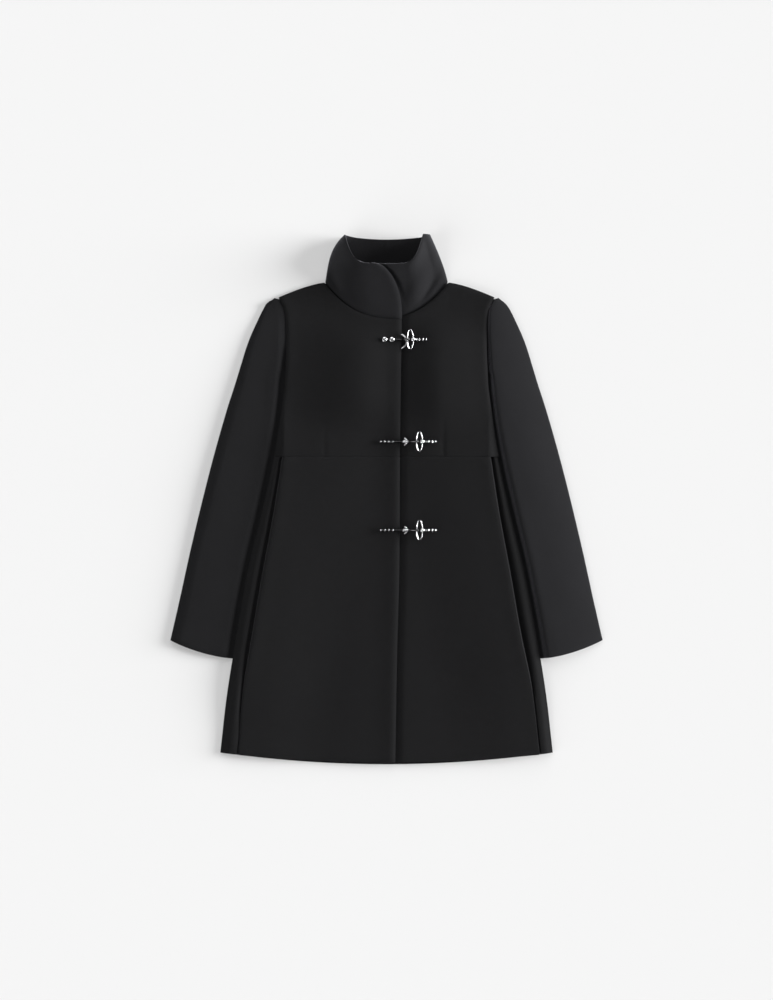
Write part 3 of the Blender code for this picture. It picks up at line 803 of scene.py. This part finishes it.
# collar: one band from its rounded over end, by the back, to its under end
collar = {
    "top": 448.5,
    "lift": 40.0,
    "fold": 22.0,
    "drop": 50.0,
    "dip": 6.0,
    # how each side draws in: an even amount, one that grows upwards and its power
    "sides": {-1: (12.0, 21.0, 4.0), 1: (0.0, 30.0, 1.3)},
    "rise": 1.5,
    "scoop": {-1: 6.0, 1: 5.5},
    "narrow": 0.84,                       # on the under side the mouth turns up nearer the centre
    # fullness of each side: start, crest and end across, rise
    "swells": ((-98.0, -52.0, 27.0, 4.5), (28.0, 50.0, 96.0, 2.4)),
    "lapRamp": (-100.0, -30.0),           # where the over end climbs onto the under end
    "flapCentre": (-22.0, 316.0),
    "flapRadii": (47.6, 84.0),
    "underEnd": -18.0,
    "frontColumns": 56,
    "foldSteps": 30,
    "backColumns": 56,
    "rows": 48,
    "flapRoll": (7.0, 1.6, 0.4),
    "cornerRamp": (5.0, 26.0),   # the over end's lower corner stands clear of the under front
    "cornerRise": 1.2,
    "cornerTop": 0.3,            # shares of the height: the corner's end, folds full, swells full
    "foldsFull": 0.25,
    "swellsFull": 0.4,
    "besideFlap": (0.0, 11.0, 3.0),   # the under end stands up again beside the over end
    "besideRise": (0.1, 0.4),
    "underFlap": (70.0, 50.0),   # hidden this far in from the side, and clear
    "underRamp": (22.0, 40.0),   # where the under end's relief comes in
    "tall": 92.0,
    "cutTall": 96.0,
    "crowding": 0.5,
    "topRoll": (6.0, 1.2, 0.8),
    "neckRoll": (9.0, 1.2, 0.5),
    # soft folds: start, end, width and rise
    "folds": (
        ((-97.0, 388.0), (-80.0, 348.0), 6.0, -2.6),
        ((-84.0, 404.0), (-64.0, 352.0), 9.0, 1.6),
        ((84.0, 412.0), (38.0, 340.0), 7.0, 2.0),
        ((82.0, 376.0), (56.0, 330.0), 4.5, -2.6),
        ((98.0, 384.0), (72.0, 336.0), 5.0, 2.2),
    ),
    "insideSeam": (0.5, 1.6),    # rise and width of the seam inside the back
    "flat": (0.460, 0.098),
    "area": 0.0405,
}


def collarHalf(v, side):
    even, late, power = collar["sides"][side]
    return cut["neckHalf"] - cut["cloth"] / 2 - even * v - late * v ** power


def collarPlan(x, v, front, side):
    share = max(-1.0, min(1.0, x / collarHalf(v, -1 if x < 0 else 1)))
    if not front:
        low = backNeck(share * cut["neckHalf"])
        return low + (collar["top"] - collar["dip"] * (1 - share * share) - low) * v
    low = neckSeam(side * share * cut["neckHalf"])
    turnUp = abs(share) ** collar["scoop"][side]
    if side > 0:
        turnUp = min(1.0, max(0.0, share) / collar["narrow"]) ** collar["scoop"][side]
    return low + (collar["top"] - collar["drop"] * (1 - turnUp) - low) * v


def overEnd(v):
    centre, radii = collar["flapCentre"], collar["flapRadii"]
    y = cut["neckFront"] + (centre[1] + radii[1] - cut["neckFront"]) * v
    rise = max(0.0, (y - centre[1]) / radii[1])
    return centre[0] + radii[0] * math.sqrt(max(0.0, 1 - rise * rise))


def collarRow(v):
    low = cut["floorLayer"]
    high = low + cut["layer"] + collar["lift"] * v ** collar["rise"]
    foldWide = cut["layer"] / 2 + (collar["fold"] - cut["layer"] / 2) * v
    flats = {side: collarHalf(v, side) - foldWide for side in (-1, 1)}
    row = []
    start = overEnd(v)
    seamRise, seamWide = collar["insideSeam"]
    near, far, sunk = collar["besideFlap"]
    hidden, clear = collar["underFlap"]

    def shown(x, y, weight, fromEnd):   # relief of the part that faces up
        height = rolled((1 - v) * collar["tall"], collar["topRoll"])
        corner = ramp(x, *collar["cornerRamp"]) if fromEnd is not None else 0.0
        height += (1 - corner) * rolled(v * collar["tall"], collar["neckRoll"])
        if fromEnd is not None:
            height += rolled(fromEnd, collar["flapRoll"])
            height += collar["cornerRise"] * corner * (1 - ramp(v, 0.0, collar["cornerTop"]))
        for one, two, wide, rise in collar["folds"]:
            height += rise * tapered(x, y, one, two, wide) * ramp(v, 0.0, collar["foldsFull"])
        for first, crest, end, rise in collar["swells"]:
            height += rib(x, (rise, first, crest, crest, end)) * ramp(v, 0.0, collar["swellsFull"])
        return weight * height

    for n in range(collar["frontColumns"]):
        x = start + (-flats[-1] - start) * crowd(n / collar["frontColumns"], collar["crowding"])
        y = collarPlan(x, v, True, -1)
        row.append((x, y, high + cut["layer"] * ramp(x, *collar["lapRamp"]) + shown(x, y, 1.0, start - x)))
    for hand in (-1, 1):
        turn = []
        for n in range(collar["foldSteps"] + 1):
            angle = math.pi / 2 - math.pi * n / collar["foldSteps"]
            x = hand * (flats[hand] + foldWide * math.cos(angle))
            height = (low + high) / 2 + (high - low) / 2 * math.sin(angle)
            y = collarPlan(x, v, angle > 0, hand)
            above = max(0.0, math.sin(angle))
            if hand < 0:
                height += above * cut["layer"] * ramp(x, *collar["lapRamp"])
            turn.append((x, y, height + shown(x, y, above, None)))
        row += turn if hand < 0 else turn[::-1]
        if hand < 0:
            for n in range(1, collar["backColumns"]):
                x = -flats[-1] + (flats[-1] + flats[1]) * n / collar["backColumns"]
                seam = seamRise * bell(x, seamWide)
                row.append((x, collarPlan(x, v, False, hand), low + seam))
    for n in range(1, collar["frontColumns"] + 1):
        x = flats[1] + (collar["underEnd"] - flats[1]) * n / collar["frontColumns"]
        y = collarPlan(x, v, True, 1)
        beside = sunk * ramp(v, *collar["besideRise"]) * (1 - ramp(x - start, near, far))
        beside *= ramp(x, flats[1] - hidden, flats[1] - clear)
        row.append((x, y, high + shown(x, y, ramp(x, *collar["underRamp"]), None) - beside))
    return row


def makeCollar():
    rows = collar["rows"]
    shares = [crowd(n / rows, collar["crowding"]) for n in range(rows + 1)]
    table = [collarRow(v) for v in shares]
    columns = len(table[0]) - 1
    spread = runOf(table[rows // 2])   # distance round the middle of the band

    def place(u, v):
        i, j = round(u * columns), round(v * rows)
        return table[j][i], (spread[i], shares[j] * collar["cutTall"])

    makeCloth("standCollar", "collar", columns, rows, place, collarWool)


makeBack()
makeBodice(-1, "bodiceOver", "bodice_over")
makeBodice(1, "bodiceUnder", "bodice_under")
makeSkirt(-1, "skirtOver", "skirt_over")
makeSkirt(1, "skirtUnder", "skirt_under")
makeSleeve(-1, "sleeveRight", "sleeve_right")
makeSleeve(1, "sleeveLeft", "sleeve_left")
makeCollar()


# clasps: distances in mm past the over front's edge
clasp = {
    "wire": 1.5,
    "ringWire": 1.0,
    "eyeWire": 1.2,
    "eyeTurn": 3.0,
    "hookTurn": 3.1,
    "ringHalf": 16.4,
    "ringSides": (26.7, 36.9),
    "ringTilt": 5.0,
    "hookBend": (115, -110),
    "eyeBend": (10, 245),
    "hookClimb": ((16.5, 0.35), (19.2, 0.75)),
    "round": 20,
    "levelRun": 0.01,                 # a bar that leaves the clasp's line by more than this lies level
    "ringSteps": 72,
    "step": 0.3,
    # turned shapes: middle, radius and half length of each bead
    "smallBeads": ((-33.5, 2.3, 1.7), (-26.7, 2.6, 1.8), (-20.0, 2.6, 1.8), (-13.0, 2.4, 1.7)),
    "largeBeads": ((-21.4, 4.3, 3.9), (-8.9, 4.3, 3.9)),
    "barrel": ((5.2, 2.9, 1.9), (8.5, 3.3, 2.0), (11.8, 2.9, 1.9)),
    "eyeBeads": ((42.8, 3.4, 1.9), (47.8, 3.3, 1.7), (54.0, 3.4, 1.8), (59.4, 2.5, 1.4)),
    "neck": {"small": 0.8, "large": 1.2, "eye": 0.8},
    # painted shine of each part: how pale its plate is drawn, in place of the highlights and shade it
    # catches
    "paintedShine": {"small": 0.28, "large": 1.0, "eye": 1.0, "hook": 0.02, "barrel": 0.6},
    "ringShine": (0.08, 1.0, 0.45),  # painted highlights: dull stretches, bright ones towards the hook, and towards the eye
    "ringBright": (0.18, 0.5, 0.84, 0.98),   # shares of the half length where those come and go
    "crown": (0.3, 1.0),              # a bead is painted bright where it stands this much out of its neck, and its neck painted dark
    "eyeBroad": 2.3,                  # the eye is a band, this many times as broad as it is thick
    "broadSteps": 5,
    "beadEnd": 0.98,                  # share of the last bead's half length where a tail ends
    "tip": 0.2,
    "eyeStart": 42.6,                 # where the turned parts meet the bent ones
    "hookStart": 14.0,
    "hookTip": (0.95, 0.8, 0.45),
    "bendSteps": 28,
    "flatFade": -2.0,                 # from here to the front's edge a flattened tail turns round
    "flatten": {"small": 1.0, "large": 0.34},
    "lobe": (8.4, 4.7, 42.0, (3.1, 1.5, 1.8)),   # along, to each side, turn and half sizes
    "loop": (9.0, 11.5, 3.0, 1.3, 0.9),   # half sizes, shift, wire and painted shine of the top hook's loop
    "loopSteps": 40,
    "loopEnds": (0.3, 0.35),
    # heights up the coat, shift along the line, beads
    # and how much nearer the hook the ring and the eye are
    "places": (
        ("Top", 272, -6.5, "large", 9.9),
        ("Waist", 99, 1.3, "small", 0),
        ("Skirt", -51, 2.3, "small", 0),
    ),
    "drawIn": (0.6, 0.7),   # share of that for the barrel, and for the hook's end
}


def turned(along, beads, neck):
    radius = neck
    for middle, bead, half in beads:
        away = abs(along - middle) / half
        if away < 1:
            radius = max(radius, bead * math.sqrt(1 - away * away))
    return radius


def crown(radius, neck):   # painted shine: 0, painted shade, in a recess; 1, painted highlight, on a bead
    start, end = clasp["crown"]
    return ramp(radius, neck + start, neck + end)


def arc(centre, radius, start, end):   # across and up, angles in degrees from +X towards +Z
    steps = clasp["bendSteps"]
    angles = [math.radians(start + (end - start) * n / steps) for n in range(steps + 1)]
    return [(centre[0] + radius * math.cos(a), centre[1] + radius * math.sin(a)) for a in angles]


def addLobe(bar, paintedShineLayer, middle, turn, sizes):   # a petal beside the barrel
    made = bmesh.ops.create_uvsphere(bar, u_segments=20, v_segments=12, radius=mm)["verts"]
    bmesh.ops.scale(bar, verts=made, vec=sizes)
    bmesh.ops.rotate(bar, verts=made, matrix=Matrix.Rotation(math.radians(turn), 3, "Z"))
    bmesh.ops.translate(bar, verts=made, vec=Vector(middle) * mm)
    for vert in made:
        vert[paintedShineLayer] = clasp["paintedShine"]["barrel"]


def drawBar(bar, paintedShineLayer, line, radii, paintedShine, closed=False, broad=None, flatten=None):
    # a loop of edges drawn out along a line of points
    count = len(line)
    steps = clasp["round"]
    loop = bmesh.ops.create_circle(bar, segments=steps, radius=1.0)["verts"]
    edges = list({edge for vert in loop for edge in vert.link_edges})
    first = edges
    for n, (point, radius, bright) in enumerate(zip(line, radii, paintedShine)):
        before = line[n - 1] if n or closed else line[0]
        after = line[(n + 1) % count] if n + 1 < count or closed else line[n]
        along = (Vector(after) - Vector(before)).normalized()
        level = closed or abs(along.y) > clasp["levelRun"]
        sideways = along.cross(Vector((0, 0, 1)) if level else Vector((0, 1, 0))).normalized()
        across = along.cross(sideways)
        sideways *= flatten[n] if flatten else 1.0
        across *= broad[n] if broad else 1.0
        for k, vert in enumerate(loop):
            turn = 2 * math.pi * k / steps
            vert.co = (Vector(point) + radius * (sideways * math.cos(turn) + across * math.sin(turn))) * mm
            vert[paintedShineLayer] = bright
        if n + 1 < count:
            drawn = bmesh.ops.extrude_edge_only(bar, edges=edges)["geom"]
            loop = [one for one in drawn if isinstance(one, bmesh.types.BMVert)]
            edges = [one for one in drawn if isinstance(one, bmesh.types.BMEdge)
                     and all(v in loop for v in one.verts)]
    if closed:
        bmesh.ops.bridge_loops(bar, edges=first + edges)
    else:
        bmesh.ops.contextual_create(bar, geom=first)
        bmesh.ops.contextual_create(bar, geom=edges)


def makeBar(name, node, bars, lobes=()):
    bar = bmesh.new()
    paintedShineLayer = bar.verts.layers.float.new("paintedShine")
    for one in bars:
        drawBar(bar, paintedShineLayer, **one)
    bmesh.ops.recalc_face_normals(bar, faces=bar.faces)
    for middle, turn, sizes in lobes:
        addLobe(bar, paintedShineLayer, middle, turn, sizes)
    mesh = bpy.data.meshes.new(name)
    bar.to_mesh(mesh)
    bar.free()
    mesh.shade_smooth()
    mesh.materials.append(claspNickel)
    made = bpy.data.objects.new(name, mesh)
    scene.collection.objects.link(made)
    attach(made, "root")
    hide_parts(node)


def restingLine(side, y, start, shape):   # axis of a bar that lies along a front
    tops = []
    for along, radius in shape:
        x = start + along
        tops.append(frontHeight(side, x, y) + frontRelief(side, x, y) + cut["cloth"] / 2 + cut["seam"])
    slope = (tops[-1] - tops[0]) / (shape[-1][0] - shape[0][0])
    base = max(top + radius - slope * along for top, (along, radius) in zip(tops, shape))
    return lambda along: base + slope * along


def stretch(start, end):
    steps = round(abs(end - start) / clasp["step"])
    return [start + (end - start) * n / steps for n in range(steps + 1)]


def tailShape(beads, last, outward, end, neck):   # places and radii from a turned tail's tip
    middle, half = last[0], last[-1]
    shape = []
    for along in stretch(middle + outward * half * clasp["beadEnd"], end):
        inBead = outward * (along - middle) > 0
        shape.append((along, turned(along, beads, clasp["tip"] if inBead else neck)))
    return shape


def makeLoop(x, y, height):   # half an oval that opens towards the over front
    across, up, lower, wire, shine = clasp["loop"]
    line = []
    for n in range(clasp["loopSteps"] + 1):
        angle = math.pi * (n / clasp["loopSteps"] - 0.5)
        line.append((x + across * math.cos(angle), y - lower + up * math.sin(angle), height))
    first, step = clasp["loopEnds"]
    ends = [min(1.0, first + step * min(n, len(line) - 1 - n)) for n in range(len(line))]
    return dict(line=line, radii=[wire * share for share in ends], paintedShine=[shine] * len(line))


def makeClasp(name, y, shift, beadKind, nearer):
    edge = frontEdge(y) + shift
    node = "clasp_" + name.lower()
    ringSides = [along - nearer for along in clasp["ringSides"]]
    barrelIn, endIn = [share * nearer for share in clasp["drawIn"]]
    barrel = tuple((along - barrelIn, radius, half) for along, radius, half in clasp["barrel"])
    eyeBeads = [(along - nearer, radius, half) for along, radius, half in clasp["eyeBeads"]]
    eyeNeck, hookNeck = clasp["neck"]["eye"], clasp["neck"][beadKind]
    eyeShape = tailShape(eyeBeads, eyeBeads[-1], 1, clasp["eyeStart"] - nearer, eyeNeck)
    eyeAxis = restingLine(1, y, edge, eyeShape)
    eyeHeight = eyeAxis(ringSides[1]) + clasp["eyeWire"]
    hookHeight = eyeHeight + clasp["ringTilt"]

    beads = clasp[beadKind + "Beads"] + (() if nearer else barrel)
    hookShape = tailShape(beads, beads[0], -1, clasp["hookStart"] - barrelIn, hookNeck)
    thin = clasp["flatten"][beadKind]
    flatten = [thin + (1 - thin) * ramp(along, clasp["flatFade"], 0) for along, radius in hookShape]
    resting = [(along, radius * share) for (along, radius), share in zip(hookShape, flatten)]
    hookAxis = restingLine(-1, y, edge, [spot for spot in resting if shift + spot[0] < clasp["wire"]])
    line = [(along, hookAxis(along)) for along, radius in hookShape]
    radii = [radius for along, radius in hookShape]
    low, top = line[-1][1], hookHeight + clasp["hookTurn"]
    line += [(along - endIn, low + share * (top - low)) for along, share in clasp["hookClimb"]]
    line += arc((ringSides[0], hookHeight), clasp["hookTurn"], *clasp["hookBend"])
    radii += [clasp["wire"]] * (len(line) - len(radii) - len(clasp["hookTip"]))
    radii += [clasp["wire"] * share for share in clasp["hookTip"]]
    # painted shine: beads pale on their crowns, necks and the hook's wire drawn dark
    paintedShine = []
    for along, radius in hookShape:
        bright = clasp["paintedShine"][beadKind if along < 0 else "barrel"]
        paintedShine.append(bright * crown(radius, hookNeck))
    paintedShine += [clasp["paintedShine"]["hook"]] * (len(line) - len(paintedShine))
    flatten += [1.0] * (len(line) - len(flatten))
    along, away, turn, sizes = clasp["lobe"]
    along -= barrelIn
    lobes = [((edge + along, y + hand * away, hookAxis(along)), -hand * turn, sizes) for hand in (-1, 1)]
    bars = [dict(line=[(edge + x, y, z) for x, z in line], radii=radii, paintedShine=paintedShine, flatten=flatten)]
    if nearer:   # this hook swings from an open loop at the front's edge
        lobes = []
        bars.append(makeLoop(edge - shift, y, hookAxis(-shift)))
    makeBar("clasp" + name + "Hook", node + "_hook", bars, lobes)

    middle = Vector((sum(ringSides) / 2, (hookHeight + eyeHeight) / 2))
    half = Vector((ringSides[0], hookHeight)) - middle
    ring = []
    for n in range(clasp["ringSteps"]):
        angle = 2 * math.pi * n / clasp["ringSteps"]
        across = middle + half * math.cos(angle)
        ring.append((edge + across.x, y + clasp["ringHalf"] * math.sin(angle), across.y))
    # painted highlights along the ring, dull between them
    dull, hookBright, eyeBright = clasp["ringShine"]
    shine = []
    for spot in ring:
        away = abs(spot[1] - y) / clasp["ringHalf"]
        bright = hookBright if spot[0] < edge + middle.x else eyeBright
        shine.append(dull + rib(away, (bright - dull, *clasp["ringBright"])))
    makeBar("clasp" + name + "Ring", node + "_ring",
            [dict(line=ring, radii=[clasp["ringWire"]] * len(ring), paintedShine=shine, closed=True)])

    line = [(along, eyeAxis(along)) for along, radius in eyeShape]
    line += arc((ringSides[1], eyeHeight), clasp["eyeTurn"], *clasp["eyeBend"])
    radii = [radius for along, radius in eyeShape]
    radii += [clasp["eyeWire"]] * (len(line) - len(radii))
    # painted shine: the eye's beads pale on their crowns, dark in their necks
    paintedShine = [crown(radius, eyeNeck) for along, radius in eyeShape]
    paintedShine += [clasp["paintedShine"]["eye"]] * (len(line) - len(paintedShine))
    broad = [1.0] * len(eyeShape)
    turnSteps = len(line) - len(broad)
    broad += [1 + (clasp["eyeBroad"] - 1) * ramp(n, 0, clasp["broadSteps"]) for n in range(turnSteps)]
    makeBar("clasp" + name + "Eye", node + "_eye",
            [dict(line=[(edge + x, y, z) for x, z in line], radii=radii, paintedShine=paintedShine, broad=broad)])
    print("clasp", name, "made")


for place in clasp["places"]:
    makeClasp(*place)


# pale floor, soft light and a camera straight above
studio = {
    "floorHalf": 40.0,
    "floorDrop": 0.0002,      # just below the coat
    "floorRoughness": 0.9,
    "floorColour": (0.50, 0.50, 0.50, 1.0),
    "floorGlow": 0.25,        # the paper is lit from behind as well, so its shadows stay pale
    "world": 0.18,
    # name, strength, angle across, direction round from +X towards +Y, height
    "suns": (
        ("keyLight", 8.4, 30.0, 7.0, 14.0),
        ("fillLight", 2.3, 60.0, 215.0, 18.0),
        ("topLight", 1.5, 60.0, 90.0, 36.0),
    ),
    "cameraHeight": 5.0,
    "sensor": 36.0,
    "frameTall": 1.70,
}


def makeStudio():
    ground = bmesh.new()
    bmesh.ops.create_grid(ground, x_segments=1, y_segments=1, size=studio["floorHalf"])
    bmesh.ops.translate(ground, verts=ground.verts, vec=(0.0, 0.0, -studio["floorDrop"]))
    mesh = bpy.data.meshes.new("floor")
    ground.to_mesh(mesh)
    ground.free()
    paper = bpy.data.materials.new("pale paper")
    paper.use_nodes = True
    shader = paper.node_tree.nodes["Principled BSDF"]
    shader.inputs["Base Color"].default_value = studio["floorColour"]
    shader.inputs["Roughness"].default_value = studio["floorRoughness"]
    shader.inputs["Specular IOR Level"].default_value = 0.0
    shader.inputs["Emission Color"].default_value = (1.0, 1.0, 1.0, 1.0)
    shader.inputs["Emission Strength"].default_value = studio["floorGlow"]
    mesh.materials.append(paper)
    floor = bpy.data.objects.new("floor", mesh)
    scene.collection.objects.link(floor)

    world = bpy.data.worlds.new("studio")
    world.use_nodes = True
    world.node_tree.nodes["Background"].inputs["Color"].default_value = (1.0, 1.0, 1.0, 1.0)
    world.node_tree.nodes["Background"].inputs["Strength"].default_value = studio["world"]
    scene.world = world
    for name, strength, wide, turn, rise in studio["suns"]:
        lamp = bpy.data.lights.new(name, "SUN")
        lamp.energy = strength
        lamp.angle = math.radians(wide)
        sun = bpy.data.objects.new(name, lamp)
        sun.rotation_euler = (0.0, math.radians(90 - rise), math.radians(turn))
        scene.collection.objects.link(sun)

    lens = bpy.data.cameras.new("camera")
    lens.sensor_width = studio["sensor"]
    lens.lens = studio["sensor"] * studio["cameraHeight"] / studio["frameTall"]
    camera = bpy.data.objects.new("camera", lens)
    camera.location = (0.0, 0.0, studio["cameraHeight"])
    scene.collection.objects.link(camera)
    scene.camera = camera


makeStudio()
print("studio made")
